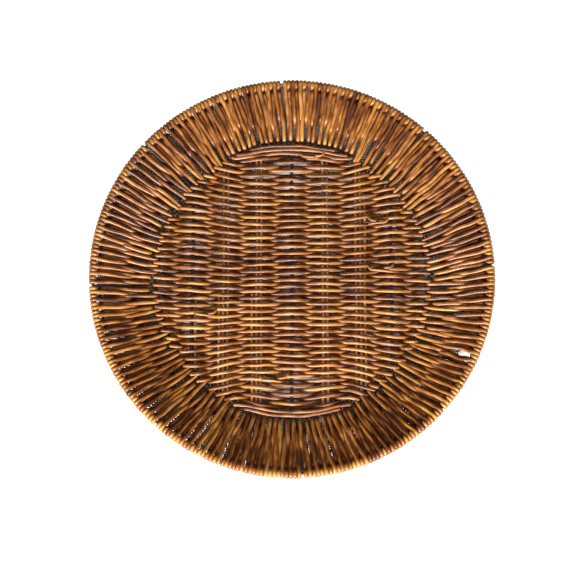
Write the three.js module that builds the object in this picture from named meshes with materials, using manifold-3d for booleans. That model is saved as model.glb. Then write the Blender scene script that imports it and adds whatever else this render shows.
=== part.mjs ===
// A shallow round tray of varnished cane, woven on a steel wire frame with a netting lining.
// Millimetres, +Z up. The origin is on the floor under the middle of the tray. The base rows
// run along X and the stakes that they are woven round run along Y.
//
// The canes are grouped into plain closed solids: one per band of base rows, and one per bay of
// the flange, which is the stretch between two spokes. Each group holds the channels that the
// wires, the stakes and the lining run through.

import * as THREE from 'three';
import { mergeVertices } from 'three/addons/utils/BufferGeometryUtils.js';
import Module from 'manifold-3d';

const wasm = await Module();
wasm.setup();

// Driving dimensions.
const TRAY_RADIUS = 165;
const BASE_HOOP_RADIUS = 112;
const FLANGE_RISE = 14.5;
const FLANGE_CURVE = 1.25; // 1 would be a straight cone; above 1 the flange steepens outwards
const CANE = 2.7; // diameter
const WIRE = 2.4; // diameter of the spokes, the base hoop and the base wires
const RIM_WIRE = 2.6; // diameter of the rim hoop
const CHANNEL = 1.9; // half the space that the upper and lower canes leave between them
const GAP = 0.3; // clearance between neighbouring pieces
const WIRE_LIFT = 0.3; // the flange's wires sit this far above the middle of the channel

// Spokes and flange bays.
const SPOKES = 8;
const FIRST_SPOKE = 3; // at the rim, in degrees from +X, counterclockwise from above
const BAY_STEPS = 7; // facets along a bay
const LEAN_ALL = 0.5; // degrees of turn between the rim hoop and the base hoop, all round
const LEAN_SIDES = 1.8; // more on the +X side and less on the -X side
const LEAN_CORNERS = 1.9; // opposite ways in neighbouring quarters

// Base weave.
const BASE_BANDS = 13;
const BASE_WIRE_X = [-81, 0, 81];
const STAKE_PAIR_X = [-54, -27, 27, 54];
const STAKE_PITCH = 3.6; // between the two canes of a pair
// Canes laid in beside a column for part of its length: x, and the y that each runs up to.
const ADDED_STAKES = [
  [-78.2, -15],
  [-59.4, -12],
  [-32.4, -12],
  [59.4, 66],
];

// Netting lining.
const NETTING = 0.4; // thickness
const NETTING_INNER_RADIUS = 98; // its inner edge lies in the base, under the stakes
const NETTING_OUTER_RADIUS = 156; // it stops short of the rim

// Values that follow from those above.
const HALF = CHANNEL + CANE; // half the thickness of the base and of the flange
const MIDDLE = HALF; // height of the middle of the base
const RIM_RADIUS = TRAY_RADIUS - HALF; // of the rim hoop's centreline
const FLANGE_INNER_RADIUS = BASE_HOOP_RADIUS - WIRE / 2 - 4 * GAP;
const BASE_RADIUS = FLANGE_INNER_RADIUS - 1.3 * GAP;
const NETTING_STEP_RADIUS = FLANGE_INNER_RADIUS - GAP; // it steps down here, to pass under the stakes
const NETTING_UNDER_STAKES = MIDDLE - CANE / 2 - GAP; // height of its upper face there
const NETTING_OFFSET = WIRE_LIFT - WIRE / 2 - GAP; // of its upper face in the flange, under the spokes
const STAKE_END_RADIUS = NETTING_STEP_RADIUS - 2 * GAP;
const SPOKE_INNER_RADIUS = BASE_HOOP_RADIUS + WIRE / 2 + 1.5 * GAP;
const SPOKE_OUTER_RADIUS = RIM_RADIUS - RIM_WIRE / 2 - 1.5 * GAP;
const BAND_END = BASE_RADIUS - 2 * GAP; // the first and last bands end in a short straight edge
const BAND_DEPTH = (2 * BAND_END) / BASE_BANDS;
// A bay stops this far, in radians, to either side of a spoke's centreline.
const BAY_MARGIN = Math.asin((WIRE / 2 + 1.3 * GAP) / FLANGE_INNER_RADIUS);

const caneLook = new THREE.MeshStandardMaterial({ color: 0xb5763a, roughness: 0.38, metalness: 0 });
const stakeLook = new THREE.MeshStandardMaterial({ color: 0xc08a50, roughness: 0.45, metalness: 0 });
const steelLook = new THREE.MeshStandardMaterial({ color: 0x554a50, roughness: 0.45, metalness: 0.6 });
const nettingLook = new THREE.MeshStandardMaterial({ color: 0x64554b, roughness: 0.9, metalness: 0 });

const tray = new THREE.Group();

function add(name, geometry, material) {
  const mesh = new THREE.Mesh(geometry, material);
  mesh.name = name;
  tray.add(mesh);
  return mesh;
}

// How far out across the flange a radius lies: 0 at the base hoop and 1 at the rim hoop.
function flangeShare(radius) {
  return Math.max(0, (radius - BASE_HOOP_RADIUS) / (RIM_RADIUS - BASE_HOOP_RADIUS));
}

// The middle surface of the flange, as the height at a distance from the tray's axis.
function flangeHeight(radius) {
  return MIDDLE + FLANGE_RISE * flangeShare(radius) ** FLANGE_CURVE;
}

// The hand-bent spokes, and the canes beside them, lean: what leaves the rim at one angle has
// turned by this much at a radius further in. The lean grows in step with the distance inwards.
function leaned(angle, radius) {
  const turn = LEAN_ALL + LEAN_SIDES * Math.cos(angle) - LEAN_CORNERS * Math.sin(2 * angle);
  return angle - THREE.MathUtils.degToRad(turn) * (1 - flangeShare(radius));
}

// A point off the flange's middle surface, measured square to it, as (radius, height).
function flangePoint(radius, offset) {
  const step = 0.01;
  const slope = (flangeHeight(radius + step) - flangeHeight(radius - step)) / (2 * step);
  const normal = new THREE.Vector2(-slope, 1).normalize();
  return new THREE.Vector2(radius, flangeHeight(radius)).addScaledVector(normal, offset);
}

// Radii where the flange's section has its corners, from one radius to another.
function stations(from, to) {
  const inside = [0, 0.33, 0.67].map((t) => BASE_HOOP_RADIUS + t * (RIM_RADIUS - BASE_HOOP_RADIUS));
  return [from, ...inside.filter((radius) => radius > from + 1 && radius < to - 1), to];
}

// Points of the arc round the rim hoop, between the flange's upper and lower sides.
function rimArc(arcRadius, pieces) {
  const centre = flangePoint(RIM_RADIUS, 0);
  const top = flangePoint(RIM_RADIUS, arcRadius).sub(centre).angle();
  const points = [];
  for (let i = 1; i < pieces; i += 1) {
    const angle = top - (Math.PI * i) / pieces;
    points.push(new THREE.Vector2(Math.cos(angle), Math.sin(angle)).multiplyScalar(arcRadius).add(centre));
  }
  return points;
}

// Turns a section, drawn as (radius, height), about the tray's axis from one rim angle to
// another, with its ends leaning as the spokes do.
function turnSection(points, fromAngle, toAngle, steps) {
  const depth = toAngle - fromAngle;
  const geometry = new THREE.ExtrudeGeometry(new THREE.Shape(points), { depth, steps, bevelEnabled: false });
  const position = geometry.attributes.position;
  for (let i = 0; i < position.count; i += 1) {
    const radius = position.getX(i);
    const angle = leaned(toAngle - position.getZ(i), radius);
    position.setXYZ(i, radius * Math.cos(angle), radius * Math.sin(angle), position.getY(i));
  }
  return geometry;
}

// A full ring of the same kind of section.
function ringSection(points, steps) {
  return new THREE.LatheGeometry([...points, points[0]], steps).rotateX(Math.PI / 2);
}

function hoop(radius, wire, height) {
  const geometry = new THREE.TorusGeometry(radius, wire / 2, 8, 56);
  geometry.translate(0, 0, height);
  return geometry;
}

// A round bar along Y, whose ends stay inside the base hoop.
function bar(x, diameter, fromY, toY) {
  const geometry = new THREE.CylinderGeometry(diameter / 2, diameter / 2, toY - fromY, 10);
  geometry.translate(x, (fromY + toY) / 2, MIDDLE);
  return geometry;
}

// How far along Y a bar at x can run before its corner meets the base hoop.
function reach(x, diameter) {
  return Math.sqrt(STAKE_END_RADIUS ** 2 - (Math.abs(x) + diameter / 2) ** 2);
}

function toManifold(geometry) {
  const bare = geometry.clone();
  bare.deleteAttribute('normal');
  bare.deleteAttribute('uv');
  const merged = mergeVertices(bare, 1e-4);
  const vertProperties = new Float32Array(merged.attributes.position.array);
  const triVerts = new Uint32Array(merged.index.array);
  return new wasm.Manifold(new wasm.Mesh({ numProp: 3, vertProperties, triVerts }));
}

function fromManifold(solid) {
  const mesh = solid.getMesh();
  const geometry = new THREE.BufferGeometry();
  geometry.setAttribute('position', new THREE.BufferAttribute(mesh.vertProperties, 3));
  geometry.setIndex(new THREE.BufferAttribute(mesh.triVerts, 1));
  return geometry;
}

// Steel frame.
function buildFrame() {
  add('rim_hoop', hoop(RIM_RADIUS, RIM_WIRE, flangeHeight(RIM_RADIUS)), steelLook);
  add('base_hoop', hoop(BASE_HOOP_RADIUS, WIRE, MIDDLE + WIRE_LIFT), steelLook);

  const section = new THREE.Shape().absarc(0, 0, WIRE / 2, 0, 2 * Math.PI, false);
  for (let i = 0; i < SPOKES; i += 1) {
    const spoke = { curveSegments: 8, steps: 6, extrudePath: spokeLine(spokeAngle(i)) };
    add(`spoke_${i + 1}`, new THREE.ExtrudeGeometry(section, spoke), steelLook);
  }

  BASE_WIRE_X.forEach((x, i) => {
    const end = reach(x, WIRE);
    add(`base_wire_${i + 1}`, bar(x, WIRE, -end, end), steelLook);
  });
}

function spokeAngle(i) {
  return THREE.MathUtils.degToRad(FIRST_SPOKE + (360 / SPOKES) * i);
}

// The centreline of the spoke that meets the rim at an angle.
function spokeLine(rimAngle) {
  const points = [0, 0.25, 0.5, 0.75, 1].map((t) => {
    const radius = THREE.MathUtils.lerp(SPOKE_INNER_RADIUS, SPOKE_OUTER_RADIUS, t);
    const angle = leaned(rimAngle, radius);
    const point = flangePoint(radius, WIRE_LIFT);
    return new THREE.Vector3(point.x * Math.cos(angle), point.x * Math.sin(angle), point.y);
  });
  return new THREE.CatmullRomCurve3(points);
}

// The canes that the base is woven round.
function buildStakes() {
  const pairs = STAKE_PAIR_X.flatMap((x) => [x - STAKE_PITCH / 2, x + STAKE_PITCH / 2]);
  pairs.forEach((x, i) => {
    const end = reach(x, CANE);
    add(`stake_${i + 1}`, bar(x, CANE, -end, end), stakeLook);
  });
  ADDED_STAKES.forEach(([x, top], i) => {
    add(`added_stake_${i + 1}`, bar(x, CANE, -reach(x, CANE), top), stakeLook);
  });
}

// The span in x of each column of wire and stakes, with its clearance.
function columnSpans() {
  const wires = BASE_WIRE_X.map((x) => [x - WIRE / 2, x + WIRE / 2]);
  const pairs = STAKE_PAIR_X.map((x) => [x - (STAKE_PITCH + CANE) / 2, x + (STAKE_PITCH + CANE) / 2]);
  const spans = [...wires, ...pairs];
  ADDED_STAKES.forEach(([x]) => {
    const span = spans.find(([low, high]) => x > low - 2 * CANE && x < high + 2 * CANE);
    span[0] = Math.min(span[0], x - CANE / 2);
    span[1] = Math.max(span[1], x + CANE / 2);
  });
  return spans.map(([low, high]) => [low - GAP, high + GAP]);
}

// The slot round the edge of the base that the netting's inner edge lies in.
function nettingSlot() {
  const bottom = NETTING_UNDER_STAKES - NETTING - GAP;
  const top = MIDDLE + NETTING_OFFSET + GAP;
  const inner = NETTING_INNER_RADIUS - GAP;
  const outer = BASE_RADIUS + 1;
  const corners = [[inner, bottom], [outer, bottom], [outer, top], [inner, top]];
  return toManifold(ringSection(corners.map(([x, y]) => new THREE.Vector2(x, y)), 56));
}

// One band of base rows: a slab cut from the round base, with a channel for each column and the
// netting's slot.
function baseBand(fromY, toY, spans, slot) {
  const low = Math.asin(fromY / BASE_RADIUS);
  const high = Math.asin(toY / BASE_RADIUS);
  const outline = new THREE.Shape();
  outline.absarc(0, 0, BASE_RADIUS, low, high, false);
  outline.absarc(0, 0, BASE_RADIUS, Math.PI - high, Math.PI - low, false);
  const slab = new THREE.ExtrudeGeometry(outline, { depth: 2 * HALF, curveSegments: 3, bevelEnabled: false });
  let solid = toManifold(slab).subtract(slot);
  spans.forEach(([left, right]) => {
    const channel = new THREE.BoxGeometry(right - left, toY - fromY + 2, 2 * CHANNEL);
    channel.translate((left + right) / 2, (fromY + toY) / 2, MIDDLE);
    solid = solid.subtract(toManifold(channel));
  });
  return fromManifold(solid);
}

function buildBase() {
  const spans = columnSpans();
  const slot = nettingSlot();
  for (let i = 0; i < BASE_BANDS; i += 1) {
    const front = -BAND_END + i * BAND_DEPTH;
    const back = front + BAND_DEPTH;
    add(`base_rows_${i + 1}`, baseBand(front + GAP / 2, back - GAP / 2, spans, slot), caneLook);
  }
}

// The netting between the upper and lower canes of the flange, and its inner edge in the base.
function buildLining() {
  const radii = stations(NETTING_STEP_RADIUS, NETTING_OUTER_RADIUS);
  const face = (down) => [
    new THREE.Vector2(NETTING_INNER_RADIUS, NETTING_UNDER_STAKES - down),
    new THREE.Vector2(NETTING_STEP_RADIUS - GAP, NETTING_UNDER_STAKES - down),
    ...radii.map((radius) => flangePoint(radius, NETTING_OFFSET - down)),
  ];
  const upper = face(0);
  const lower = face(NETTING);
  add('netting_lining', ringSection([...lower, ...upper.reverse()], 56), nettingLook);
}

// The canes of one bay: over the channel, round the rim hoop and back under the channel.
function buildFlange() {
  const radii = stations(FLANGE_INNER_RADIUS, RIM_RADIUS);
  const side = (offset) => radii.map((radius) => flangePoint(radius, offset));
  const outside = [...side(HALF), ...rimArc(HALF, 6), ...side(-HALF).reverse()];
  const inside = [...side(CHANNEL), ...rimArc(CHANNEL, 4), ...side(-CHANNEL).reverse()];
  const section = [...outside, ...inside.reverse()].reverse();
  for (let i = 0; i < SPOKES; i += 1) {
    const from = spokeAngle(i) + BAY_MARGIN;
    const to = spokeAngle(i + 1) - BAY_MARGIN;
    add(`flange_canes_${i + 1}`, turnSection(section, from, to, BAY_STEPS), caneLook);
  }
}

buildFrame();
buildStakes();
buildLining();
buildBase();
buildFlange();

export default tray;
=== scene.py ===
"""Looks of a shallow round tray woven from varnished cane on a steel wire frame.

The tray stands on the floor with +Z up. Its base rows run along X, round stakes and wires that
run along Y. Its flange is covered by canes that lie across it and turn round the rim hoop.
Lengths are in metres, and the names that end in _MM are in millimetres.
"""

import math

import bpy
import numpy as np
from bpy.props import FloatProperty, FloatVectorProperty, IntProperty, PointerProperty
from bpy.types import Operator, Panel, PropertyGroup
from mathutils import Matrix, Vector


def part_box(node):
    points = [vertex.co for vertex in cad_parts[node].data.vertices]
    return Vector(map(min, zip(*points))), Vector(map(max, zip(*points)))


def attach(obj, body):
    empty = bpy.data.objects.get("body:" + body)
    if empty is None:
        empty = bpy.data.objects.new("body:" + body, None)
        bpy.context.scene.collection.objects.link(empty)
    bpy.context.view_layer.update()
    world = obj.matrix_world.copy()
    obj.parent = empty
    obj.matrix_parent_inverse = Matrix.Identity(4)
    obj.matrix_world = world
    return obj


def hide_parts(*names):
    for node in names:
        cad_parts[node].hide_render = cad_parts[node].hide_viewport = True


bl_info = {
    "name": "Woven Cane Tray",
    "version": (1, 0, 0),
    "blender": (4, 5, 0),
    "location": "3D View > Sidebar > Cane Tray",
    "description": "Builds a round cane tray, its wire frame, its lining and a small studio",
    "category": "Object",
}

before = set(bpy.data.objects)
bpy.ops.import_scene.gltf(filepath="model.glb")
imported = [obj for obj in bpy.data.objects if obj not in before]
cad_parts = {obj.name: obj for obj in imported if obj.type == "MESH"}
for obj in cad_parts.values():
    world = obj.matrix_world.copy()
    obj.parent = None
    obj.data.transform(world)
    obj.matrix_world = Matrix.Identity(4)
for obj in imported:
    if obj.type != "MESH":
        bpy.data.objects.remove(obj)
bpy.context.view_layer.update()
MM = 0.001


# ---------------------------------------------------------------- places, from the CAD frame


def hoop_of(node):
    """A hoop's centreline radius, its height and the radius of its wire."""
    low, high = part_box(node)
    wire = (high[2] - low[2]) / 2
    return (high[0] - low[0]) / 2 - wire, (high[2] + low[2]) / 2, wire


RIM_RADIUS, RIM_HEIGHT, RIM_WIRE = hoop_of("rim_hoop")
HOOP_RADIUS, HOOP_HEIGHT, HOOP_WIRE = hoop_of("base_hoop")
BASE_MIDDLE = float(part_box("stake_1")[0][2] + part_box("stake_1")[1][2]) / 2
FLANGE_CURVE = 1.25
SPOKES = 8
BASE_WIRES = 3
STAKES = 8
ADDED_STAKES = 4
BANDS = 13


def spoke_angles(node):
    """The angles at which a spoke leaves the base hoop and meets the rim hoop."""
    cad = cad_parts[node]
    points = np.array([tuple(cad.matrix_world @ v.co) for v in cad.data.vertices])
    reach = np.hypot(points[:, 0], points[:, 1])
    inner = points[reach < reach.min() + MM].mean(axis=0)
    outer = points[reach > reach.max() - MM].mean(axis=0)
    return math.atan2(inner[1], inner[0]), math.atan2(outer[1], outer[0])


SPOKE_ANGLES = [spoke_angles(f"spoke_{i + 1}") for i in range(SPOKES)]


def nearest_turn(angle):
    """The same angle, between half a turn backwards and half a turn forwards."""
    return (angle + math.pi) % math.tau - math.pi


def lean_at(angle):
    """How far the frame turns between the base hoop and the rim at a rim angle."""
    at = np.array([outer for inner, outer in SPOKE_ANGLES])
    lean = np.array([nearest_turn(outer - inner) for inner, outer in SPOKE_ANGLES])
    order = np.argsort(at % math.tau)
    return np.interp(angle % math.tau, (at % math.tau)[order], lean[order], period=math.tau)


def flange_share(radius):
    """0 at the base hoop and 1 at the rim hoop."""
    return np.clip((radius - HOOP_RADIUS) / (RIM_RADIUS - HOOP_RADIUS), 0, 1.2)


def flange_height(radius):
    """The height of the flange's middle surface."""
    return BASE_MIDDLE + (RIM_HEIGHT - BASE_MIDDLE) * flange_share(radius) ** FLANGE_CURVE


def flange_normal(radius):
    """The upward normal of the middle surface, as its outward and upward parts."""
    step = 0.1 * MM
    slope = (flange_height(radius + step) - flange_height(radius - step)) / (2 * step)
    length = np.hypot(slope, 1)
    return -slope / length, 1 / length


def off_flange(radius, height):
    """Points at a height off the middle surface, as distances from the axis and heights."""
    out, up = flange_normal(radius)
    return radius + height * out, flange_height(radius) + height * up


def round_hoop(radius, height, away, turn, tilt=0.0):
    """Points round a hoop's wire. A turn of 0 is outward and a quarter turn is upward."""
    return radius + away * np.cos(turn + tilt), height + away * np.sin(turn + tilt)


# ---------------------------------------------------------------- meshes


def smooth(share):
    """A share from 0 to 1 that starts and ends gently."""
    share = np.clip(share, 0, 1)
    return share * share * (3 - 2 * share)


def unit(vectors):
    return vectors / np.maximum(np.linalg.norm(vectors, axis=-1, keepdims=True), 1e-12)


class Bundle:
    """Gathers the round strands of one piece and turns them into one mesh.

    Every vertex keeps three things for its material: grain, its place along and across the
    strand in millimetres; tone, which of the cane's shades its strand has; and a painted shade,
    which darkens the sides that face back into the weave, where shadow falls.
    """

    END_STEPS = ((0.45, 0.89), (0.8, 0.6))  # how far past the end, and how wide

    def __init__(self, sides):
        self.turns = np.arange(sides) * math.tau / sides
        self.points, self.grain, self.tone, self.painted_shade = [], [], [], []
        self.quads, self.fans = [], []
        self.count = 0

    def add(self, path, radius, side, out=(0, 0, 0), tone=0.5, start=0.0, pressed=1.0):
        """Adds a strand. side is a direction across it, and out points away from the weave.
        The sides that face back against out are darkened as painted shade.

        pressed is how many times wider than high the weaving has pressed it.
        """
        path = np.asarray(path, float)
        radius = np.broadcast_to(radius, len(path))
        ahead = unit(np.gradient(path, axis=0))
        side = np.broadcast_to(side, path.shape)
        out = np.broadcast_to(out, path.shape)
        tone = np.broadcast_to(tone, len(path))
        head = [(-past, wide) for past, wide in reversed(self.END_STEPS)]
        tail = list(self.END_STEPS)
        first = [path[0] + ahead[0] * radius[0] * past for past, wide in head]
        last = [path[-1] + ahead[-1] * radius[-1] * past for past, wide in tail]
        picks = np.r_[[0] * len(head), np.arange(len(path)), [-1] * len(tail)]
        widths = np.r_[[wide for _, wide in head], np.ones(len(path)), [wide for _, wide in tail]]
        centres = np.concatenate([first, path, last])
        ahead, side, out = ahead[picks], side[picks], out[picks]
        radius = radius[picks] * widths
        across = unit(side - (side * ahead).sum(axis=1, keepdims=True) * ahead)
        up = np.cross(ahead, across)
        cos, sin = np.cos(self.turns), np.sin(self.turns)
        normals = across[:, None] * cos[:, None] + up[:, None] * sin[:, None]
        wide, high = math.sqrt(pressed), 1 / math.sqrt(pressed)
        offsets = across[:, None] * cos[:, None] * wide + up[:, None] * sin[:, None] * high
        rings = centres[:, None] + offsets * radius[:, None, None]
        steps = np.linalg.norm(np.diff(centres, axis=0), axis=1)
        along = start + np.concatenate([[0], np.cumsum(steps)]) / MM
        grain = np.empty(rings.shape)
        grain[..., 0] = along[:, None]
        grain[..., 1] = radius[:, None] * cos / MM
        grain[..., 2] = radius[:, None] * sin / MM
        # Painted shade: how far each side faces back against out, where shadow falls in the weave.
        painted_shade = np.clip(0.5 - 0.5 * (normals * out[:, None]).sum(axis=2), 0, 1)
        poles = np.array([centres[0] - ahead[0] * radius[0] * 0.5,
                          centres[-1] + ahead[-1] * radius[-1] * 0.5])
        sides, length = len(self.turns), len(centres)
        here = self.count + np.arange(length * sides).reshape(length, sides)
        turned = np.roll(here, -1, axis=1)
        corners = np.stack([here[:-1], turned[:-1], turned[1:], here[1:]], axis=-1)
        self.quads.append(corners.reshape(-1, 4))
        near, far = here.max() + 1, here.max() + 2
        self.fans.append(np.stack([np.full(sides, near), turned[0], here[0]], axis=-1))
        self.fans.append(np.stack([np.full(sides, far), here[-1], turned[-1]], axis=-1))
        self.points += [rings.reshape(-1, 3), poles]
        self.grain += [grain.reshape(-1, 3), [(along[0], 0, 0), (along[-1], 0, 0)]]
        self.painted_shade += [painted_shade.ravel(), painted_shade[[0, -1]].mean(axis=1)]
        self.tone += [np.repeat(tone[picks], sides), tone[[0, -1]]]
        self.count += length * sides + 2

    def add_ring(self, path, radius, side, start=0.0):
        """Adds a strand whose end meets its start."""
        path = np.asarray(path, float)
        ahead = unit(np.roll(path, -1, axis=0) - np.roll(path, 1, axis=0))
        side = np.broadcast_to(side, path.shape)
        across = unit(side - (side * ahead).sum(axis=1, keepdims=True) * ahead)
        up = np.cross(ahead, across)
        cos, sin = np.cos(self.turns), np.sin(self.turns)
        normals = across[:, None] * cos[:, None] + up[:, None] * sin[:, None]
        rings = path[:, None] + normals * radius
        sides, length = len(self.turns), len(path)
        along = start + np.arange(length) * np.linalg.norm(path[1] - path[0]) / MM
        grain = np.empty(rings.shape)
        grain[..., 0] = along[:, None]
        grain[..., 1] = radius * cos / MM
        grain[..., 2] = radius * sin / MM
        here = self.count + np.arange(length * sides).reshape(length, sides)
        turned, onward = np.roll(here, -1, axis=1), np.roll(here, -1, axis=0)
        both = np.roll(onward, -1, axis=1)
        self.quads.append(np.stack([here, turned, both, onward], axis=-1).reshape(-1, 4))
        self.points.append(rings.reshape(-1, 3))
        self.grain.append(grain.reshape(-1, 3))
        # A ring gets an even, middling painted shade.
        self.painted_shade.append(np.full(length * sides, 0.4))
        self.tone.append(np.full(length * sides, 0.5))
        self.count += length * sides

    def piece(self, name, material, slot, *nodes):
        """Makes the mesh, gives it its body and hides the CAD nodes it stands for. Its slot is not used."""
        faces = np.concatenate(self.quads).tolist()
        if self.fans:
            faces += np.concatenate(self.fans).tolist()
        mesh = bpy.data.meshes.new(name)
        mesh.from_pydata(np.concatenate(self.points).tolist(), [], faces)
        mesh.polygons.foreach_set("use_smooth", np.ones(len(faces), bool))
        for label, kind, values, key in (
            ("grain", "FLOAT_VECTOR", self.grain, "vector"),
            ("tone", "FLOAT", self.tone, "value"),
            ("painted_shade", "FLOAT", self.painted_shade, "value"),
        ):
            layer = mesh.attributes.new(label, kind, "POINT")
            layer.data.foreach_set(key, np.concatenate(values).astype(np.float32).ravel())
        mesh.materials.append(material)
        mesh.update()
        piece = bpy.data.objects.new(name, mesh)
        bpy.context.collection.objects.link(piece)
        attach(piece, "root")
        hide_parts(*nodes)
        return piece


def turned_path(reach, heights, angles):
    """Points from distances off the axis, heights and angles about it."""
    return np.stack([reach * np.cos(angles), reach * np.sin(angles), heights], axis=-1)


# ---------------------------------------------------------------- material tools


def link(tree, source, target):
    tree.links.new(source, target)


def shader_group(name, inputs, outputs):
    """A new node group with the named sockets, and its input and output nodes."""
    group = bpy.data.node_groups.new(name, "ShaderNodeTree")
    for label, kind, value in inputs:
        socket = group.interface.new_socket(label, in_out="INPUT", socket_type=kind)
        if value is not None:
            socket.default_value = value
    for label, kind in outputs:
        group.interface.new_socket(label, in_out="OUTPUT", socket_type=kind)
    return group, group.nodes.new("NodeGroupInput"), group.nodes.new("NodeGroupOutput")


def math_node(tree, operation, first, second, third=None, clamp=False):
    """A Math node. Each value is a number or another node's output."""
    node = tree.nodes.new("ShaderNodeMath")
    node.operation = operation
    node.use_clamp = clamp
    for socket, value in zip(node.inputs, (first, second, third)):
        if value is None:
            continue
        if isinstance(value, (int, float)):
            socket.default_value = value
        else:
            link(tree, value, socket)
    return node.outputs[0]


def mix_colour(tree, share, first, second, blend="MIX"):
    node = tree.nodes.new("ShaderNodeMix")
    node.data_type = "RGBA"
    node.blend_type = blend
    for socket, value in zip((node.inputs[0], node.inputs[6], node.inputs[7]), (share, first, second)):
        if isinstance(value, (int, float, tuple)):
            socket.default_value = value
        else:
            link(tree, value, socket)
    return node.outputs[2]


def stretched_noise(tree, vector, scale, detail, roughness=0.5):
    """Noise on a vector that is first multiplied by a scale for each axis."""
    stretch = tree.nodes.new("ShaderNodeVectorMath")
    stretch.operation = "MULTIPLY"
    stretch.inputs[1].default_value = scale
    link(tree, vector, stretch.inputs[0])
    noise = tree.nodes.new("ShaderNodeTexNoise")
    noise.inputs["Scale"].default_value = 1
    noise.inputs["Detail"].default_value = detail
    noise.inputs["Roughness"].default_value = roughness
    link(tree, stretch.outputs[0], noise.inputs["Vector"])
    return noise.outputs["Fac"]


def spread(tree, value, low, high, to_low=0.0, to_high=1.0):
    """Maps a span of values onto another span, smoothly and no further."""
    node = tree.nodes.new("ShaderNodeMapRange")
    node.interpolation_type = "SMOOTHSTEP"
    node.inputs["From Min"].default_value = low
    node.inputs["From Max"].default_value = high
    node.inputs["To Min"].default_value = to_low
    node.inputs["To Max"].default_value = to_high
    link(tree, value, node.inputs["Value"])
    return node.outputs[0]


def attribute(tree, name):
    node = tree.nodes.new("ShaderNodeAttribute")
    node.attribute_name = name
    return node


def new_material(name):
    """A material with its Principled shader, and its node tree."""
    material = bpy.data.materials.new(name)
    material.use_nodes = True
    tree = material.node_tree
    return material, tree, tree.nodes["Principled BSDF"]


def add_bump(tree, shader, height, strength, distance):
    bump = tree.nodes.new("ShaderNodeBump")
    bump.inputs["Strength"].default_value = strength
    bump.inputs["Distance"].default_value = distance
    link(tree, height, bump.inputs["Height"])
    link(tree, bump.outputs[0], shader.inputs["Normal"])


def cane_grain_group():
    """Fibres and patches of varnished cane, and painted shade where it faces into the weave."""
    name = "Cane Grain"
    if name in bpy.data.node_groups:
        return bpy.data.node_groups[name]
    group, given, result = shader_group(
        name,
        [
            ("Grain", "NodeSocketVector", None),
            ("Tone", "NodeSocketFloat", 0.5),
            ("Painted Shade", "NodeSocketFloat", 0.5),
            ("Painted Shade Depth", "NodeSocketFloat", 0.8),
            ("Patches", "NodeSocketFloat", 0.5),
            ("Dark", "NodeSocketColor", None),
            ("Middle", "NodeSocketColor", None),
            ("Pale", "NodeSocketColor", None),
            ("Gold", "NodeSocketColor", None),
        ],
        [("Color", "NodeSocketColor"), ("Roughness", "NodeSocketFloat"), ("Height", "NodeSocketFloat")],
    )
    grain = given.outputs["Grain"]
    fibre = stretched_noise(group, grain, (0.07, 1.1, 1.1), 3, 0.6)
    patch = stretched_noise(group, grain, (0.08, 0.25, 0.25), 2, 0.6)
    speck = stretched_noise(group, grain, (0.6, 3.5, 3.5), 2, 0.6)
    fibre_part = math_node(group, "MULTIPLY_ADD", fibre, 1.2, -0.6)
    patch_part = math_node(group, "SUBTRACT", patch, 0.5)
    patch_part = math_node(group, "MULTIPLY", patch_part, given.outputs["Patches"])
    patch_part = math_node(group, "MULTIPLY", patch_part, 3.4)
    shade = math_node(group, "ADD", given.outputs["Tone"], fibre_part)
    shade = math_node(group, "ADD", shade, patch_part)
    lower = math_node(group, "MULTIPLY", shade, 2.0, clamp=True)
    upper = math_node(group, "MULTIPLY_ADD", shade, 2.0, -1.0, clamp=True)
    colour = mix_colour(group, lower, given.outputs["Dark"], given.outputs["Middle"])
    hue = stretched_noise(group, grain, (0.03, 0.08, 0.08), 1)
    pale = mix_colour(group, spread(group, hue, 0.42, 0.60), given.outputs["Pale"], given.outputs["Gold"])
    colour = mix_colour(group, upper, colour, pale)
    marks = spread(group, speck, 0.60, 0.78, 0.0, 0.45)
    colour = mix_colour(group, marks, colour, given.outputs["Dark"])
    # Painted shade: the sides that face into the weave are darkened towards deep brown, where shadow falls,
    # and made rougher.
    depth = spread(group, given.outputs["Painted Shade"], 0.12, 0.85)
    depth = math_node(group, "MULTIPLY", depth, given.outputs["Painted Shade Depth"])
    painted_shaded = mix_colour(group, 1.0, colour, (0.30, 0.10, 0.035, 1.0), "MULTIPLY")
    colour = mix_colour(group, depth, colour, painted_shaded)
    link(group, colour, result.inputs["Color"])
    rough = spread(group, fibre, 0.3, 0.7, 0.34, 0.52)
    rough = math_node(group, "MULTIPLY_ADD", depth, 0.25, rough)
    link(group, rough, result.inputs["Roughness"])
    link(group, fibre, result.inputs["Height"])
    return group


def cane_material(name, dark, middle, pale, gold, painted_shade_depth, patches):
    """Varnished cane in three shades, which each strand's tone chooses between."""
    if name in bpy.data.materials:
        return bpy.data.materials[name]
    material, tree, shader = new_material(name)
    grain = tree.nodes.new("ShaderNodeGroup")
    grain.node_tree = cane_grain_group()
    link(tree, attribute(tree, "grain").outputs["Vector"], grain.inputs["Grain"])
    link(tree, attribute(tree, "tone").outputs["Fac"], grain.inputs["Tone"])
    link(tree, attribute(tree, "painted_shade").outputs["Fac"], grain.inputs["Painted Shade"])
    grain.inputs["Painted Shade Depth"].default_value = painted_shade_depth
    grain.inputs["Patches"].default_value = patches
    for socket, colour in (("Dark", dark), ("Middle", middle), ("Pale", pale), ("Gold", gold)):
        grain.inputs[socket].default_value = (*colour, 1.0)
    link(tree, grain.outputs["Color"], shader.inputs["Base Color"])
    link(tree, grain.outputs["Roughness"], shader.inputs["Roughness"])
    shader.inputs["IOR"].default_value = 1.5
    shader.inputs["Specular IOR Level"].default_value = 0.22
    shader.inputs["Coat Weight"].default_value = 0.28
    shader.inputs["Coat Roughness"].default_value = 0.2
    add_bump(tree, shader, grain.outputs["Height"], 0.35, 0.12 * MM)
    return material


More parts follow.
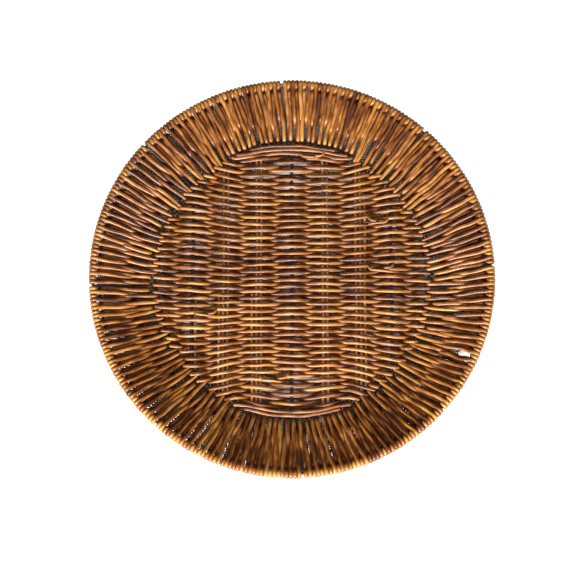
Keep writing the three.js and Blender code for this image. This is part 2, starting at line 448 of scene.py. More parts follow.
def steel_material(colour):
    """Dark lacquered wire with paler patches, partly rubbed lacquer and partly a painted sheen, and a
    little rusty in places.
    """
    name = "Lacquered Wire"
    if name in bpy.data.materials:
        return bpy.data.materials[name]
    material, tree, shader = new_material(name)
    grain = attribute(tree, "grain").outputs["Vector"]
    drawn = stretched_noise(tree, grain, (0.25, 2.5, 2.5), 3, 0.6)
    rust = stretched_noise(tree, grain, (0.12, 0.5, 0.5), 3, 0.65)
    # Paler patches along the wire: rubbed lacquer, and partly a painted sheen.
    rubbed_and_sheen = spread(tree, drawn, 0.35, 0.75)
    tint = mix_colour(tree, rubbed_and_sheen, (*colour, 1.0), (0.11, 0.09, 0.09, 1.0))
    tint = mix_colour(tree, spread(tree, rust, 0.58, 0.72, 0.0, 0.7), tint, (0.10, 0.035, 0.015, 1.0))
    link(tree, tint, shader.inputs["Base Color"])
    link(tree, spread(tree, drawn, 0.3, 0.7, 0.42, 0.62), shader.inputs["Roughness"])
    shader.inputs["Metallic"].default_value = 0.45
    add_bump(tree, shader, drawn, 0.3, 0.08 * MM)
    return material


def netting_material(colour):
    """Matt, slightly fuzzy taupe thread."""
    name = "Taupe Netting"
    if name in bpy.data.materials:
        return bpy.data.materials[name]
    material, tree, shader = new_material(name)
    grain = attribute(tree, "grain").outputs["Vector"]
    twist = stretched_noise(tree, grain, (2.0, 3.0, 3.0), 2, 0.6)
    patch = stretched_noise(tree, grain, (0.05, 0.3, 0.3), 2)
    darker = tuple(0.45 * part for part in colour)
    paler = tuple(min(1.0, 1.7 * part) for part in colour)
    tint = mix_colour(tree, spread(tree, twist, 0.3, 0.7), (*darker, 1.0), (*paler, 1.0))
    tint = mix_colour(tree, spread(tree, patch, 0.35, 0.65, 0.1, 0.6), tint, (*colour, 1.0))
    link(tree, tint, shader.inputs["Base Color"])
    link(tree, spread(tree, twist, 0.3, 0.7, 0.7, 0.92), shader.inputs["Roughness"])
    shader.inputs["Sheen Weight"].default_value = 0.1
    shader.inputs["Sheen Roughness"].default_value = 0.5
    add_bump(tree, shader, twist, 0.5, 0.1 * MM)
    return material


# ---------------------------------------------------------------- settings


class TraySizes(PropertyGroup):
    """Sizes and counts of the canes."""

    cane: FloatProperty(
        name="Cane", description="Diameter of the woven canes",
        default=2.74 * MM, min=1 * MM, max=5 * MM, precision=5, unit="LENGTH",
    )
    stake: FloatProperty(
        name="Stake", description="Diameter of the stakes inside the base",
        default=2.45 * MM, min=1 * MM, max=5 * MM, precision=5, unit="LENGTH",
    )
    swing: FloatProperty(
        name="Swing", description="How far a base row rises and falls from its middle",
        default=2.62 * MM, min=1 * MM, max=4 * MM, precision=5, unit="LENGTH",
    )
    rows: IntProperty(name="Rows per Band", description="Rows in each band of the base", default=6, min=1)
    canes: IntProperty(
        name="Canes per Bay", description="Canes across the flange between two spokes",
        default=19, min=1,
    )
    mesh: FloatProperty(
        name="Netting Pitch", description="Distance between the netting's threads",
        default=1.8 * MM, min=1 * MM, max=5 * MM, precision=5, unit="LENGTH",
    )


class TrayFinishes(PropertyGroup):
    """Colours of the canes, the wire and the netting."""

    dark: FloatVectorProperty(
        name="Dark Cane", description="Shade of the darkest canes",
        default=(0.055, 0.0125, 0.0025), size=3, min=0, max=1, subtype="COLOR",
    )
    middle: FloatVectorProperty(
        name="Middle Cane", description="Shade of most canes",
        default=(0.200, 0.062, 0.0085), size=3, min=0, max=1, subtype="COLOR",
    )
    pale: FloatVectorProperty(
        name="Pale Cane", description="Shade of the palest canes",
        default=(0.38, 0.163, 0.044), size=3, min=0, max=1, subtype="COLOR",
    )
    wire: FloatVectorProperty(
        name="Wire", description="Lacquer on the steel wires",
        default=(0.030, 0.024, 0.026), size=3, min=0, max=1, subtype="COLOR",
    )
    # Painted light: the stakes are given this paler colour because they lie in the rows' shadow.
    bright: FloatVectorProperty(
        name="Painted Lit Stake", description="Shade of the palest stretches of the stakes",
        default=(0.80, 0.46, 0.23), size=3, min=0, max=1, subtype="COLOR",
    )
    gold: FloatVectorProperty(
        name="Golden Patches", description="Shade of the yellower stretches of cane",
        default=(0.38, 0.168, 0.026), size=3, min=0, max=1, subtype="COLOR",
    )
    netting: FloatVectorProperty(
        name="Netting", description="Thread of the lining",
        default=(0.095, 0.076, 0.058), size=3, min=0, max=1, subtype="COLOR",
    )


class TrayStudio(PropertyGroup):
    """The camera and the lamps."""

    elevation: FloatProperty(
        name="Elevation", description="How far above the floor the camera looks down from",
        default=math.radians(78.6), subtype="ANGLE",
    )
    distance: FloatProperty(
        name="Distance", description="From the camera to the tray", default=1.4, unit="LENGTH",
    )
    view: FloatProperty(
        name="View Width", description="Width that the camera takes in at the tray",
        default=0.4640, unit="LENGTH",
    )
    key: FloatProperty(name="Key Lamp", description="Power of the main lamp", default=104.0, unit="POWER")
    top: FloatProperty(name="Top Lamp", description="Power of the lamp overhead", default=8.0, unit="POWER")
    floor: FloatProperty(
        name="Floor Lamp", description="Power of the lamp that whitens the floor",
        default=70.0, unit="POWER",
    )
    fill: FloatProperty(name="Sky", description="Strength of the light from all round", default=0.12)


def sizes():
    return bpy.context.scene.cane_tray_sizes


def finishes():
    return bpy.context.scene.cane_tray_finishes


def studio():
    return bpy.context.scene.cane_tray_studio


def woven_cane():
    """The finish of the rows and of the flange's canes."""
    look = finishes()
    # 0.9 is how deep the painted shade goes in the woven cane.
    return cane_material("Varnished Cane", look.dark, look.middle, look.pale, look.gold, 0.9, 0.62)


def stake_cane():
    """The stakes' cane: its colours are set paler than the rows' as painted light, and its painted shade is
    light.
    """
    look = finishes()
    return cane_material("Stake Cane", look.middle, look.pale, look.bright, look.pale, 0.35, 0.25)


# ---------------------------------------------------------------- steel frame

WIRE_SIDES = 12
HOOP_POINTS = 360
SPOKE_LIFT_MM = 0.3
UP = np.array((0.0, 0.0, 1.0))
ALONG_X = np.array((1.0, 0.0, 0.0))
ALONG_Y = np.array((0.0, 1.0, 0.0))


def hoop_path(radius, height, wander, seed):
    """A hand-bent hoop: a circle whose height and radius wander a little."""
    random = np.random.default_rng(seed)
    angles = np.arange(HOOP_POINTS) * math.tau / HOOP_POINTS
    rise, swell = np.zeros(HOOP_POINTS), np.zeros(HOOP_POINTS)
    for waves in (2, 3, 5):
        rise += wander / waves * np.sin(waves * angles + random.uniform(0, math.tau))
        swell += wander / waves * np.sin(waves * angles + random.uniform(0, math.tau))
    return turned_path(radius + swell, height + rise, angles)


def spoke_path(node):
    """From the base hoop up the flange to the inside of the rim hoop."""
    inner, outer = SPOKE_ANGLES[int(node.split("_")[1]) - 1]
    radius = np.linspace(HOOP_RADIUS + 0.6 * MM, RIM_RADIUS - RIM_WIRE - 0.9 * MM, 28)
    reach, heights = off_flange(radius, SPOKE_LIFT_MM * MM)
    share = (radius - HOOP_RADIUS) / (RIM_RADIUS - HOOP_RADIUS)
    return turned_path(reach, heights, inner + nearest_turn(outer - inner) * share)


class TRAY_OT_steel_frame(Operator):
    """Bends the rim hoop, the base hoop, the spokes and the base wires"""

    bl_idname = "tray.steel_frame"
    bl_label = "Steel Frame"

    def execute(self, context):
        steel = steel_material(finishes().wire)
        for node, radius, height, wire in (
            ("rim_hoop", RIM_RADIUS, RIM_HEIGHT, RIM_WIRE),
            ("base_hoop", HOOP_RADIUS, HOOP_HEIGHT, HOOP_WIRE),
        ):
            bundle = Bundle(WIRE_SIDES)
            bundle.add_ring(hoop_path(radius, height, 0.1 * MM, len(node)), wire, UP)
            bundle.piece(f"{node}_wire", steel, "steel", node)
        for i in range(SPOKES):
            node = f"spoke_{i + 1}"
            bundle = Bundle(WIRE_SIDES)
            bundle.add(spoke_path(node), HOOP_WIRE, UP, start=40.0 * i)
            bundle.piece(f"{node}_wire", steel, "steel", node)
        for i in range(BASE_WIRES):
            node = f"base_wire_{i + 1}"
            low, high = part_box(node)
            count = 40
            y = np.linspace(low[1], high[1], count)
            x = (low[0] + high[0]) / 2 + 0.35 * MM * np.sin(y / (23 * MM) + 2 * i)
            path = np.stack([x, y, np.full(count, BASE_MIDDLE)], axis=-1)
            bundle = Bundle(WIRE_SIDES)
            bundle.add(path, HOOP_WIRE, ALONG_X, start=60.0 * i)
            bundle.piece(f"{node}_steel", steel, "steel", node)
        return {"FINISHED"}


# ---------------------------------------------------------------- stakes

CANE_SIDES = 10
GRAIN_SPAN = 5000  # a strand's grain starts anywhere in this many millimetres


class TRAY_OT_stakes(Operator):
    """Lays the stakes that the base rows are woven round"""

    bl_idname = "tray.stakes"
    bl_label = "Stakes"

    def execute(self, context):
        random = np.random.default_rng(11)
        nodes = [f"stake_{i + 1}" for i in range(STAKES)]
        nodes += [f"added_stake_{i + 1}" for i in range(ADDED_STAKES)]
        for i, node in enumerate(nodes):
            low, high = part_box(node)
            y = np.arange(low[1], high[1], 2.5 * MM)
            wander = 0.25 * MM * np.sin(y / (17 * MM) + random.uniform(0, math.tau))
            x = (low[0] + high[0]) / 2 + wander
            sway = 0.15 * MM * np.sin(y / (5.5 * MM) + random.uniform(0, math.tau))
            path = np.stack([x, y, BASE_MIDDLE + sway], axis=-1)
            radius = sizes().stake / 2 * (1 + 0.03 * np.sin(y / (9 * MM) + i))
            bundle = Bundle(CANE_SIDES)
            # Painted light: each stake gets one of the palest tones to look lit between the rows, and out
            # darkens its underside as painted shade.
            tone = random.uniform(0.85, 1.05)
            bundle.add(path, radius, ALONG_X, 0.7 * UP, tone, start=random.uniform(0, GRAIN_SPAN))
            bundle.piece(f"{node}_cane", stake_cane(), "stake_cane", node)
        return {"FINISHED"}


# ---------------------------------------------------------------- base rows


def column_places():
    """Where the columns of wires and stakes stand along X, from left to right."""
    wires = [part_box(f"base_wire_{i + 1}") for i in range(BASE_WIRES)]
    firsts = range(1, STAKES, 2)
    pairs = [(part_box(f"stake_{i}")[0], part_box(f"stake_{i + 1}")[1]) for i in firsts]
    return sorted(float(low[0] + high[0]) / 2 for low, high in wires + pairs)


RAISED_END = HOOP_RADIUS + 1.5 * MM  # a row that ends on top lies over the base hoop
SUNK_END = HOOP_RADIUS - 3.4 * MM  # a row that ends below stops inside it
OUTERMOST_ROW = 106 * MM
OVER_HOOP = 100 * MM  # the rows beyond this bow out over the base hoop
ROW_LEAN = 0.14  # the rows lean a little towards the front
ROW_PRESSED = 1.22  # how many times wider than high a row is
ROW_FLARE = 0.13  # how far a row spreads sideways, as a share of its distance from the middle
ROW_BOW = 7.6 * MM  # how far the outermost rows bow out


def row_drift(x, y):
    """How far the weaver's hand moved the rows from straight lines at a place."""
    inside = np.clip(1 - (y / HOOP_RADIUS) ** 2, 0, 1)
    left = 0.045 * np.clip(-55 * MM - x, 0, None) * inside
    ripple = 0.55 * MM * np.sin(x / (31 * MM) + y / (47 * MM)) * inside
    return left + ripple + 0.35 * MM * np.sin(x / (13 * MM) - y / (29 * MM) + 1.3)


def row_line(x, y):
    """Where the row that crosses the middle at y runs: it flares sideways, and bows near the ends."""
    flare = ROW_FLARE * y * smooth((np.abs(x) - 32 * MM) / (60 * MM))
    side = abs(y) / HOOP_RADIUS
    bow = ROW_BOW * smooth((side - 0.66) / 0.28) * np.clip(1 - (x / (46 * MM)) ** 2, 0, 1)
    return y + flare + math.copysign(1, y) * bow + row_drift(x, y)


def slow_noise(x, shortest, longest, random):
    """A wave between -1 and 1 that has no clear period."""
    first = np.sin(x / (random.uniform(shortest, longest) * MM) + random.uniform(0, math.tau))
    second = np.sin(x / (random.uniform(shortest, longest) * MM) + random.uniform(0, math.tau))
    return (first + second) / 2


def row_path(y, parity, columns, random):
    """One row: over and under the columns, to the base hoop on both sides."""
    size = sizes()
    x = np.arange(-HOOP_RADIUS, HOOP_RADIUS, 1.4 * MM)
    inside = np.flatnonzero(np.hypot(x, row_line(x, y)) < RAISED_END)
    x = x[inside[0]:inside[-1] + 1]
    pitch = columns[1] - columns[0]
    place = (x - columns[0]) / pitch + 0.09 * slow_noise(x, 9, 22, random)
    wave = np.cos(math.pi * place) * parity
    wave = np.sign(wave) * np.abs(wave) ** random.uniform(1.1, 1.5)
    reach = np.hypot(x, row_line(x, y))
    half = len(x) // 2
    kept = np.ones(len(x), bool)
    for end, side in ((0, slice(0, half)), (-1, slice(half, None))):
        if wave[end] > 0.1 or abs(y) > OVER_HOOP:
            wave[side] += (1.08 - wave[side]) * smooth((reach[side] - HOOP_RADIUS + 9 * MM) / (6 * MM))
        else:
            kept[side] = reach[side] < SUNK_END
    x, wave = x[kept], wave[kept]
    swing = size.swing * (random.uniform(0.94, 1.06) + 0.08 * slow_noise(x, 6, 12, random))
    z = BASE_MIDDLE + swing * wave
    wander = 0.34 * MM * slow_noise(x, 3.5, 8, random) + 0.3 * MM * slow_noise(x, 9, 24, random)
    leaning = -ROW_LEAN * (z - BASE_MIDDLE)
    path = np.stack([x, row_line(x, y) + wander + leaning, z], axis=-1)
    # Painted shade: a raised stretch of a row is darkened only underneath, and a sunk stretch nearly all
    # round, where shadow falls between the rows.
    out = (0.28 + 0.54 * (z - BASE_MIDDLE) / size.swing)[:, None] * UP
    return path, out


def band_rows(band):
    """Where the rows of a band cross the middle, and which way each starts."""
    low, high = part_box(f"base_rows_{band + 1}")
    count = sizes().rows
    pitch = float(high[1] - low[1] + 0.3 * MM) / count
    for row in range(count):
        y = float(low[1]) - 0.15 * MM + pitch * (row + 0.5)
        if abs(y) <= OUTERMOST_ROW:
            yield y, 1 if (band * count + row) % 2 else -1


def raised_ends():
    """The angles at which rows end on top of the base hoop."""
    columns = column_places()
    x = np.arange(-HOOP_RADIUS, HOOP_RADIUS, 0.7 * MM)
    angles = []
    for band in range(BANDS):
        for y, parity in band_rows(band):
            line = row_line(x, y)
            inside = np.flatnonzero(np.hypot(x, line) < RAISED_END)
            for end in inside[[0, -1]]:
                place = (x[end] - columns[0]) / (columns[1] - columns[0])
                if math.cos(math.pi * place) * parity > 0.1:
                    angles.append(math.atan2(line[end], x[end]))
    return np.array(angles)


# Where new canes were pushed in: x and y of the bend, which way it turns, and how far it runs on.
BENT_CANES = (
    (62.8, 48.1, 1, 4.5), (78.4, 46.6, -1, 16.0),
    (62.5, 6.8, 1, 28.0), (82.4, 8.7, -1, 6.0),
    (-79.7, -30.0, 1, 18.0), (-61.4, -29.0, -1, 6.0),
    (-25.7, -83.7, 1, 20.0), (-3.2, -82.0, -1, 7.0),
    (7.1, 102.4, 1, 18.0), (26.5, 103.0, -1, 6.0),
)
BEND_MM = 3.4  # the radius of the bend
BENT_SHARE = 0.42  # a bent cane's radius, as a share of a woven cane's diameter
BENT_TONE = 0.66


def bent_cane(x, y, way, run):
    """A cane that comes down a column from the back, bends round and runs along the rows."""
    turn = np.linspace(0, math.pi / 2, 8)
    down = np.linspace(3, 0.6, 4)
    flat = [(x, y + BEND_MM + step) for step in down]
    flat += [(x + way * BEND_MM * (1 - math.cos(a)), y + BEND_MM * (1 - math.sin(a))) for a in turn]
    flat += [(x + way * (BEND_MM + step), y - 0.09 * step) for step in np.linspace(1, run, 10)]
    flat = np.array(flat)
    share = np.linspace(0, 1, len(flat))
    lift = smooth(share / 0.3) * smooth((1 - share) / 0.3)
    z = BASE_MIDDLE + (sizes().swing + 0.5 * MM) * lift
    return np.stack([flat[:, 0] * MM, flat[:, 1] * MM, z], axis=-1)


class TRAY_OT_base_rows(Operator):
    """Weaves the rows of the base"""

    bl_idname = "tray.base_rows"
    bl_label = "Base Rows"

    def execute(self, context):
        random = np.random.default_rng(23)
        size = sizes()
        columns = column_places()
        for band in range(BANDS):
            node = f"base_rows_{band + 1}"
            low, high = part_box(node)
            bundle = Bundle(CANE_SIDES)
            for y, parity in band_rows(band):
                path, out = row_path(y, parity, columns, random)
                radius = size.cane / 2 * random.uniform(0.99, 1.06)
                swell = radius * (1 + 0.035 * np.sin(path[:, 0] / (8 * MM) + random.uniform(0, math.tau)))
                tone = float(np.clip(random.normal(0.52, 0.19), 0.12, 0.95))
                bundle.add(path, swell, ALONG_Y, out, tone, random.uniform(0, GRAIN_SPAN), ROW_PRESSED)
            for x, y, way, run in BENT_CANES:
                if low[1] <= y * MM < high[1] + 0.3 * MM:
                    path = bent_cane(x, y, way, run)
                    start = random.uniform(0, GRAIN_SPAN)
                    # 0.7 * UP darkens its underside as painted shade.
                    bundle.add(path, size.cane * BENT_SHARE, UP, 0.7 * UP, BENT_TONE, start)
            bundle.piece(f"{node}_weave", woven_cane(), "cane", node)
        return {"FINISHED"}


# ---------------------------------------------------------------- lining

GAP_ANGLE = math.radians(-25.0)  # where the netting's edge falls short of the rim
GAP_RADIUS_MM = 150.2
GAP_DEPTH_MM = 10.0
NETTING_SHORT_MM = 3.0  # it stops this far inside the rim hoop
NETTING_LIFT_MM = -1.35
NETTING_INNER_MM = 98.0  # its inner edge lies under the ends of the base rows
THREAD_MM = 0.45
THREAD_SWING_MM = 0.24
THREAD_SIDES = 4
SHORTEST_THREAD = 3  # in pitches


def netting_edge(angle):
    """The netting's outer radius, which dips in at the gap and wanders elsewhere."""
    away = nearest_turn(angle - GAP_ANGLE)
    dip = GAP_DEPTH_MM * MM * np.exp(-((away / math.radians(2.4)) ** 2))
    wander = 0.7 * MM * np.sin(9 * angle) + 0.5 * MM * np.sin(23 * angle + 1)
    return RIM_RADIUS - NETTING_SHORT_MM * MM + 0.6 * wander - dip


def netting_height(x, y):
    """How high the netting lies at a place: it is lower under the base's edge."""
    lift = NETTING_LIFT_MM - 0.25 * (1 - smooth((np.hypot(x, y) - HOOP_RADIUS + 3 * MM) / (4 * MM)))
    return off_flange(np.hypot(x, y), lift * MM)[1]


class TRAY_OT_netting(Operator):
    """Weaves the netting that lines the flange between its upper and lower canes"""

    bl_idname = "tray.netting"
    bl_label = "Netting Lining"

    def execute(self, context):
        pitch = sizes().mesh
        inner = NETTING_INNER_MM * MM
        count = int(RIM_RADIUS / pitch)
        numbers = np.arange(-count, count + 1)
        across, along = np.meshgrid(numbers, numbers, indexing="ij")
        bundle = Bundle(THREAD_SIDES)
        for turned in (False, True):
            x, y = (along, across) if turned else (across, along)
            x = x * pitch + 0.16 * MM * np.sin(y * pitch / (11 * MM) + x / 7)
            y = y * pitch + 0.16 * MM * np.sin(x / (13 * MM) + y / 9)
            reach, angle = np.hypot(x, y), np.arctan2(y, x)
            parity = np.where((across + along) % 2 == 0, 1.0, -1.0) * (-1 if turned else 1)
            height = netting_height(x, y) + THREAD_SWING_MM * MM * parity
            kept = (reach > inner) & (reach < netting_edge(angle))
            for row in range(len(numbers)):
                edges = np.flatnonzero(np.diff(np.r_[False, kept[row], False].astype(int)))
                for first, last in zip(edges[::2], edges[1::2]):
                    if last - first < SHORTEST_THREAD:
                        continue
                    path = np.stack([x[row], y[row], height[row]], axis=-1)[first:last]
                    bundle.add(path, THREAD_MM * MM, UP, start=37.0 * row)
        net = bundle.piece("netting_lining_threads", netting_material(finishes().netting), "netting",
                           "netting_lining")
        return {"FINISHED"}


# ---------------------------------------------------------------- flange canes

FLANGE_CANE = 1.12  # a flange cane's width, in widths of a woven cane
UPPER_MM = 2.85  # the middles of the upper and lower runs, off the flange's middle surface
LOWER_MM = -3.05
FLANGE_PRESSED = 1.24  # how many times wider than high a flange cane is
SETTLING_MM = 134.0  # where a cane on its way out sinks between those that come back
SETTLED_MM = 1.35  # its middle then lies this far off the middle surface
OUTWARD_DIVE_MM = 154.0  # where a cane on its way out goes down to the rim's underside
INWARD_DIVE_MM = 133.0  # where it goes down through the netting on its way back
DIVE_MM = 11.0  # the length of that dive
BAY_MARGIN = math.radians(0.35)  # between a spoke and the first cane
TURN_OFFSET = 0.25  # of a cane's two turns from its middle, in steps of the canes' pitch
TIP_ROOM = 2.8 * MM  # between the middles of a tip and of a raised row
TIGHTEST_ROOM = -0.4 * MM  # what may be left over between two raised rows
FURTHEST_MOVE = 1.9 * MM  # of a tip along the base hoop
TIP_OUTSIDE_MM = (3.7, 5.0)  # how far outside the base hoop a tip's bend begins
TIP_BETWEEN_MM = (-2.9, -2.2)  # the same for a tip that turns round the hoop
CROWN_MM = 0.7  # how far an upper run may arch
RIM_TURN = (-88, 448)  # in degrees: one and a half turns round the rim hoop
BY_GAP = math.radians(2.6)  # canes this near the gap start their lower run further in
GAP_START_MM = 138


def rim_tilt():
    out, up = flange_normal(RIM_RADIUS)
    return math.atan2(float(-out), float(up))


def beside_gap(angles, radii):
    """Turns canes aside where the netting's gap shows the floor."""
    away = nearest_turn(angles - GAP_ANGLE)
    near = np.exp(-(np.abs(away) / math.radians(2.2)))
    near = near * np.exp(-(((radii / MM - GAP_RADIUS_MM) / 6.5) ** 2))
    return angles + np.where(away > 0, 1, -1) * math.radians(1.0) * near


def cane_angles(rim_angle, radii, wander, random):
    """The angles of a cane along the flange: leaning, wandering and giving way to the gap."""
    lean = lean_at(rim_angle)
    inward = 1 - np.clip((radii - HOOP_RADIUS) / (RIM_RADIUS - HOOP_RADIUS), 0, 1)
    waves = 0.42 * MM * np.sin(radii / (random.uniform(4, 9) * MM) + random.uniform(0, math.tau))
    waves *= smooth(inward / 0.15)
    return rim_angle - lean * inward + (wander * inward + waves) / radii


def way_between(ends, tip):
    """How far a cane's tip must move along the base hoop to pass between two raised rows.

    The answer is None when it would have to move too far.
    """
    away = nearest_turn(ends - tip) * HOOP_RADIUS
    low, high = away[away <= 0].max() + TIP_ROOM, away[away > 0].min() - TIP_ROOM
    move = min(max(0.0, low), high) if low <= high else (low + high) / 2
    return move if high - low > TIGHTEST_ROOM and abs(move) < FURTHEST_MOVE else None


def flange_cane(rim_angle, pitch, move, random):
    """One cane of the flange, as its points and their distances from the axis.

    It runs below from the rim, turns up at the base hoop and lies on top as far as the rim. It
    turns one and a half times round the rim hoop, comes back on top, dives through the netting
    and ends under the base hoop. With a move it turns round the base hoop between two raised
    rows, and without one it comes up just outside the hoop.
    """
    tilt = rim_tilt()
    away = RIM_WIRE + sizes().cane / 2 * FLANGE_CANE / math.sqrt(FLANGE_PRESSED)
    hoop, rim = HOOP_RADIUS / MM, RIM_RADIUS / MM
    bend = (UPPER_MM - LOWER_MM) / 2
    middle = hoop + bend + random.uniform(*(TIP_OUTSIDE_MM if move is None else TIP_BETWEEN_MM))
    by_gap = abs(nearest_turn(rim_angle - GAP_ANGLE)) < BY_GAP
    beneath = np.linspace(GAP_START_MM if by_gap else rim - 4, middle + 1, 22)
    beneath_r, beneath_z = off_flange(beneath * MM, np.full(22, LOWER_MM * MM))
    up = np.radians(np.linspace(-90, 90, 9))
    up_r, up_z = off_flange((middle - bend * np.cos(up)) * MM, (UPPER_MM - bend + bend * np.sin(up)) * MM)

    outward = np.linspace(middle + 1, rim - 1.5, 30)
    sunk = smooth((outward - OUTWARD_DIVE_MM - random.uniform(-1.5, 1)) / 4.5)
    crown = random.uniform(0.0, CROWN_MM) * np.sin(math.pi * np.clip((outward - hoop) / 38, 0, 1))
    near_rim = smooth((outward - 155) / 4.2)
    settled = smooth((outward - SETTLING_MM - random.uniform(-3.5, 3.5)) / 9)
    height = (UPPER_MM + crown) * (1 - settled) + SETTLED_MM * settled
    height = height * (1 - sunk) + LOWER_MM * sunk
    height = height * (1 - near_rim) - away / MM * near_rim
    out_r, out_z = off_flange(outward * MM, height * MM)

    turn = np.radians(np.linspace(*RIM_TURN, 40))
    turn_r, turn_z = round_hoop(RIM_RADIUS, RIM_HEIGHT, away, turn, tilt)

    dive = INWARD_DIVE_MM + random.uniform(-4.5, 4.5)
    inward = np.linspace(rim - 1.5, hoop + 2, 30)
    sunk = smooth((dive - inward) / DIVE_MM)
    crown = random.uniform(0.0, CROWN_MM) * np.sin(math.pi * np.clip((inward - dive) / 24, 0, 1))
    height = (UPPER_MM + crown) * (1 - sunk) + LOWER_MM * sunk
    in_r, in_z = off_flange(inward * MM, height * MM)
    under = np.radians(np.linspace(-96, -140, 4))
    under_r, under_z = round_hoop(HOOP_RADIUS, BASE_MIDDLE, -LOWER_MM * MM, under)

    first, last = -TURN_OFFSET, TURN_OFFSET
    steps = np.linspace(0, 1, len(turn))
    spiral = first + (last - first) * smooth((steps - 0.3) / 0.45)
    hidden = first - first * smooth((beneath - 124) / 12)
    slant = np.concatenate([hidden, np.full(len(up) + len(outward), first), spiral,
                            np.full(len(inward) + len(under), last)])
    radii = np.concatenate([beneath, np.full(len(up), middle), outward, np.full(len(turn), rim),
                            inward, np.full(len(under), hoop)]) * MM
    outer_leg = np.arange(len(radii)) < len(beneath) + len(up) + len(outward) + len(turn) // 2
    outward_swing = random.normal(0, 0.7) if move is None else move / MM
    swing = np.where(outer_leg, outward_swing, random.normal(-0.3, 0.95)) * MM
    angles = cane_angles(rim_angle, radii, swing, random) + slant * pitch
    reach = np.concatenate([beneath_r, up_r, out_r, turn_r, in_r, under_r])
    heights = np.concatenate([beneath_z, up_z, out_z, turn_z, in_z, under_z])
    return turned_path(reach, heights, beside_gap(angles, radii)), radii


def away_from_weave(path, radii):
    """Which way, and how far, each point of a flange cane lies from the middle surface."""
    angles = np.arctan2(path[:, 1], path[:, 0])
    middle = turned_path(np.minimum(radii, RIM_RADIUS), flange_height(radii), angles)
    return (path - middle) / (UPPER_MM * MM)


class TRAY_OT_flange_canes(Operator):
    """Lays the canes of the flange, bay by bay"""

    bl_idname = "tray.flange_canes"
    bl_label = "Flange Canes"

    def execute(self, context):
        random = np.random.default_rng(47)
        size = sizes()
        ends = raised_ends()
        for bay in range(SPOKES):
            start = SPOKE_ANGLES[bay][1] + BAY_MARGIN
            end = SPOKE_ANGLES[(bay + 1) % SPOKES][1] - BAY_MARGIN
            width = (end - start) % math.tau
            pitch = width / size.canes
            bundle = Bundle(CANE_SIDES)
            for number in range(size.canes):
                angle = start + pitch * (number + 0.5) + random.normal(0, 0.02) * pitch
                tip = angle - lean_at(angle) - TURN_OFFSET * pitch
                move = way_between(ends, tip) if abs(math.sin(tip)) < 0.9 else None
                path, radii = flange_cane(angle, pitch, move, random)
                angles = np.arctan2(path[:, 1], path[:, 0])
                side = np.stack([-np.sin(angles), np.cos(angles), np.zeros(len(angles))], axis=-1)
                # The side of a cane that faces back into the weave is darkened as painted shade.
                out = away_from_weave(path, radii)
                thickness = size.cane / 2 * FLANGE_CANE * random.uniform(0.95, 1.04)
                shade = float(np.clip(random.normal(0.5, 0.19), 0.1, 0.95))
                reach = np.hypot(path[:, 0], path[:, 1])
                taper = 0.72 + 0.28 * smooth((reach - HOOP_RADIUS + 4 * MM) / (13 * MM))
                radius = thickness * taper
                worn = 0.24 * smooth((reach - RIM_RADIUS + 2.5 * MM) / (3 * MM))
                # The canes are darker from about 128 mm out to where the rim's paler turns begin.
                darker_band = 0.08 * smooth((reach - 128 * MM) / (14 * MM)) * (worn == 0)
                # The canes are paler inside about 126 mm.
                paler_inside = 0.12 * smooth((126 * MM - reach) / (8 * MM))
                tone = shade + worn + paler_inside - darker_band
                bundle.add(path, radius, side, out, tone, random.uniform(0, GRAIN_SPAN), FLANGE_PRESSED)
            node = f"flange_canes_{bay + 1}"
            bundle.piece(f"{node}_woven", woven_cane(), "cane", node)
        return {"FINISHED"}


# ---------------------------------------------------------------- stage


FLOOR_WIDTH = 12.0
TRAY_MIDDLE = (0.0, 0.0, 0.01)  # where the lamps point
AIM = (-3.2 * MM, -10.7 * MM, RIM_HEIGHT)  # where the camera points


def area_lamp(name, place, target, power, width, height):
    data = bpy.data.lights.new(name, "AREA")
    data.energy = power
    data.shape = "RECTANGLE"
    data.size, data.size_y = width, height
    lamp = bpy.data.objects.new(name, data)
    lamp.location = place
    lamp.rotation_euler = (Vector(target) - Vector(place)).to_track_quat("-Z", "Y").to_euler()
    bpy.context.collection.objects.link(lamp)
    return lamp


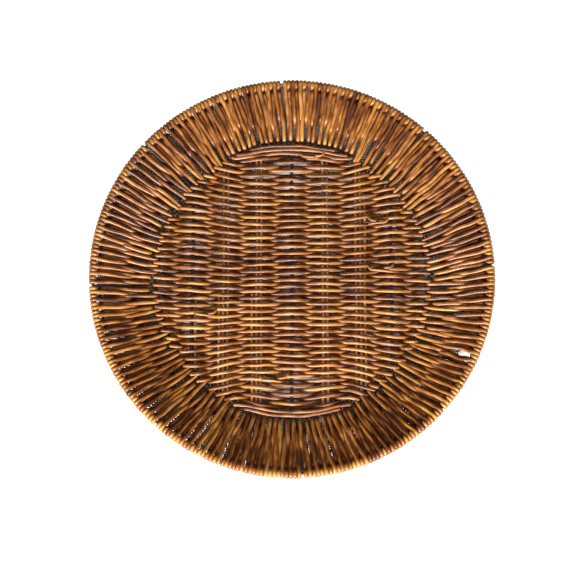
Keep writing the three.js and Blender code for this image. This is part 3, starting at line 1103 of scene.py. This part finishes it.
class TRAY_OT_stage(Operator):
    """Sets out the floor, the lamps and the camera"""

    bl_idname = "tray.stage"
    bl_label = "Studio"

    def execute(self, context):
        scene = context.scene
        look = studio()
        scene.view_settings.view_transform = "Standard"

        mesh = bpy.data.meshes.new("floor")
        half = FLOOR_WIDTH / 2
        corners = [(-half, -half, 0), (half, -half, 0), (half, half, 0), (-half, half, 0)]
        mesh.from_pydata(corners, [], [(0, 1, 2, 3)])
        material, tree, shader = new_material("Pale Floor")
        shader.inputs["Base Color"].default_value = (0.93, 0.93, 0.93, 1)
        shader.inputs["Roughness"].default_value = 0.9
        mesh.materials.append(material)
        floor = bpy.data.objects.new("floor", mesh)
        scene.collection.objects.link(floor)

        world = bpy.data.worlds.new("Studio")
        scene.world = world
        world.use_nodes = True
        sky = world.node_tree.nodes["Background"]
        sky.inputs["Color"].default_value = (1.0, 0.99, 0.98, 1)
        sky.inputs["Strength"].default_value = look.fill

        area_lamp("key", (-0.15, -1.46, 0.66), TRAY_MIDDLE, look.key, 1.1, 0.6)
        area_lamp("top", (0.05, -0.1, 1.8), TRAY_MIDDLE, look.top, 1.0, 1.0)
        floor_lamp = area_lamp("floor lamp", (0, 0.4, 2.2), TRAY_MIDDLE, look.floor, 1.6, 1.6)
        lit_floor = bpy.data.collections.new("lit floor")
        lit_floor.objects.link(floor)
        floor_lamp.light_linking.receiver_collection = lit_floor

        data = bpy.data.cameras.new("camera")
        data.sensor_width = 36.0
        data.lens = data.sensor_width * look.distance / look.view
        camera = bpy.data.objects.new("camera", data)
        target = Vector(AIM)
        back = Vector((0, -math.cos(look.elevation), math.sin(look.elevation)))
        camera.location = target + back * look.distance
        camera.rotation_euler = (-back).to_track_quat("-Z", "Y").to_euler()
        scene.collection.objects.link(camera)
        scene.camera = camera
        return {"FINISHED"}


# ---------------------------------------------------------------- add-on

OPERATORS = (
    TRAY_OT_steel_frame,
    TRAY_OT_stakes,
    TRAY_OT_base_rows,
    TRAY_OT_netting,
    TRAY_OT_flange_canes,
    TRAY_OT_stage,
)


class TRAY_PT_panel(Panel):
    """Lists the steps that build the tray"""

    bl_idname = "TRAY_PT_panel"
    bl_label = "Cane Tray"
    bl_space_type = "VIEW_3D"
    bl_region_type = "UI"
    bl_category = "Cane Tray"

    def draw(self, context):
        for operator in OPERATORS:
            self.layout.operator(operator.bl_idname)


SETTINGS = {
    "cane_tray_sizes": TraySizes,
    "cane_tray_finishes": TrayFinishes,
    "cane_tray_studio": TrayStudio,
}


def register():
    for kind in (*SETTINGS.values(), *OPERATORS, TRAY_PT_panel):
        bpy.utils.register_class(kind)
    for name, kind in SETTINGS.items():
        setattr(bpy.types.Scene, name, PointerProperty(type=kind))


def unregister():
    for name in SETTINGS:
        delattr(bpy.types.Scene, name)
    for kind in (TRAY_PT_panel, *reversed(OPERATORS), *reversed(SETTINGS.values())):
        bpy.utils.unregister_class(kind)


def clear_start_up_objects():
    """Removes the cube, camera and lamp that a new Blender file holds."""
    for name in ("Cube", "Camera", "Light"):
        found = bpy.data.objects.get(name)
        if found:
            bpy.data.objects.remove(found)


def main():
    register()
    clear_start_up_objects()
    bpy.ops.tray.steel_frame()
    bpy.ops.tray.stakes()
    bpy.ops.tray.base_rows()
    bpy.ops.tray.netting()
    bpy.ops.tray.flange_canes()
    bpy.ops.tray.stage()


if __name__ == "__main__":
    main()
